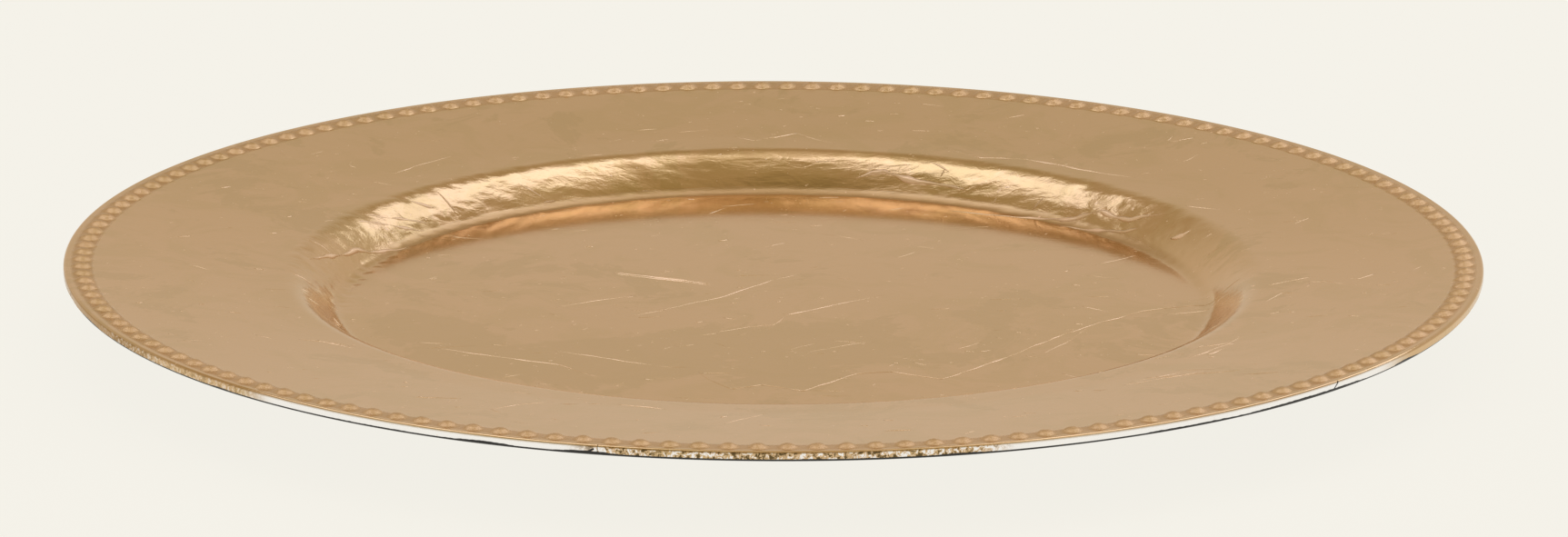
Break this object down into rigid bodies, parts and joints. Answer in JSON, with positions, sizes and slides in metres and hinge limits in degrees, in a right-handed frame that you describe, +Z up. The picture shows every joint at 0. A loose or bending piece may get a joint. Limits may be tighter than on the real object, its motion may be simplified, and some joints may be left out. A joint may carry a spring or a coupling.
{
  "type": "charger plate",
  "caption": "Round charger plate: flat well for a dinner plate, sloped wall, wide rim with a ring of small beads and a plain lip, low foot ring underneath, gold leaf on its front.",
  "frame": {"origin": "on the table plane, under the centre of the plate", "axes": "+Z up along the plate's axis of turn; the side nearest the viewer in the picture is at -Y"},
  "size_m": [0.33, 0.33, 0.0186],
  "materials": {
    "moulding": "satin black moulded polypropylene",
    "gold_leaf": "pale imitation gold leaf, finely creased, under clear gloss varnish"
  },
  "bodies": {
    "root": {"plate_body": "moulding", "centre_leaf": "gold_leaf", "front_leaf": "gold_leaf", "left_leaf": "gold_leaf", "right_leaf": "gold_leaf", "front_left_leaf": "gold_leaf", "front_right_leaf": "gold_leaf", "back_leaf": "gold_leaf", "back_left_leaf": "gold_leaf"}
  },
  "joints": []
}
